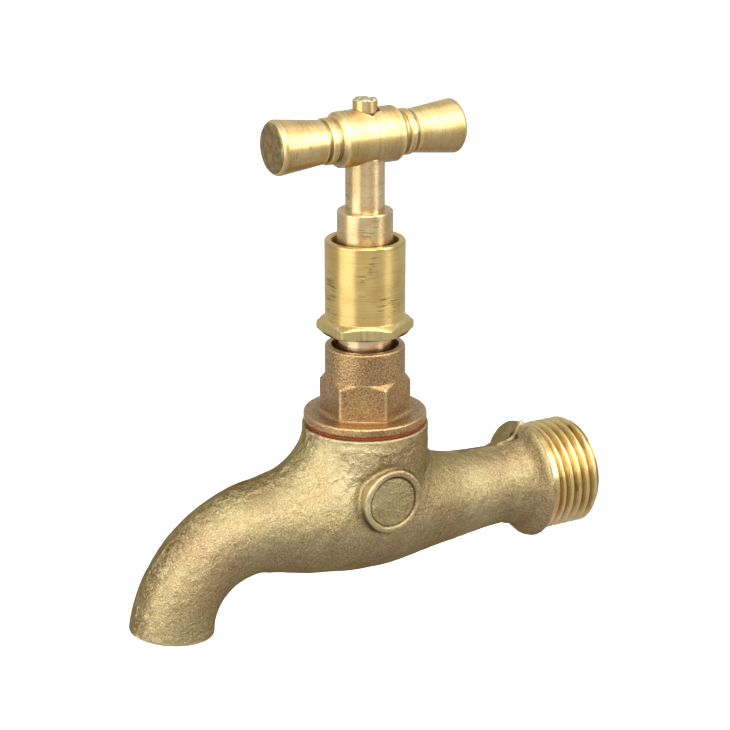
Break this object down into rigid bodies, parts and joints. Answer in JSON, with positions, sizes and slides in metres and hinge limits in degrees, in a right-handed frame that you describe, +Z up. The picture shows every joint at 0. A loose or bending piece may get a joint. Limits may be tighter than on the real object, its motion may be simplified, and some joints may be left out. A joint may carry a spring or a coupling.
{
  "type": "brass tap",
  "caption": "Cast brass garden tap with a downturned spout, a rising spindle with a crutch handle, a gland nut with a long sleeve and a male threaded inlet.",
  "frame": {"origin": "on the axis of the inlet thread, in the plane of the shoulder behind the thread", "axes": "+X along the inlet thread towards the wall, -X towards the spout, -Y the side with the round pad, +Z up along the spindle"},
  "size_m": [0.0952, 0.0245, 0.0944],
  "materials": {
    "cast_brass": "sand-cast, matt",
    "fibre": "red fibre",
    "bonnet_brass": "forged, dull",
    "turned_brass": "turned, satin",
    "packing": "graphited yarn",
    "spindle_brass": "turned, dull",
    "handle_brass": "turned, satin",
    "rubber": "moulded rubber"
  },
  "bodies": {
    "body": {"tap_body": "cast_brass", "bonnet_washer": "fibre", "bonnet": "bonnet_brass", "gland_nut": "turned_brass", "packing_ring_1": "packing", "packing_ring_2": "packing", "gland_washer": "turned_brass"},
    "valve": {"jumper": "turned_brass", "seat_washer": "rubber", "keep_washer": "turned_brass", "jumper_nut": "turned_brass"},
    "spindle": {"spindle": "spindle_brass", "handle": "handle_brass"}
  },
  "joints": [
    {"name": "valve_lift", "type": "slide", "parent": "body", "child": "valve", "axis": [0, 0, 1], "range_m": [-0.0025, 0.003]},
    {"name": "handle_turn", "type": "hinge", "parent": "valve", "child": "spindle", "pos_m": [-0.0354, 0, 0.04], "axis": [0, 0, 1], "range_deg": [-450, 540]}
  ],
  "couplings": [
    {"joint": "handle_turn", "follows": "valve_lift", "rad_per_m": 3141.6}
  ]
}
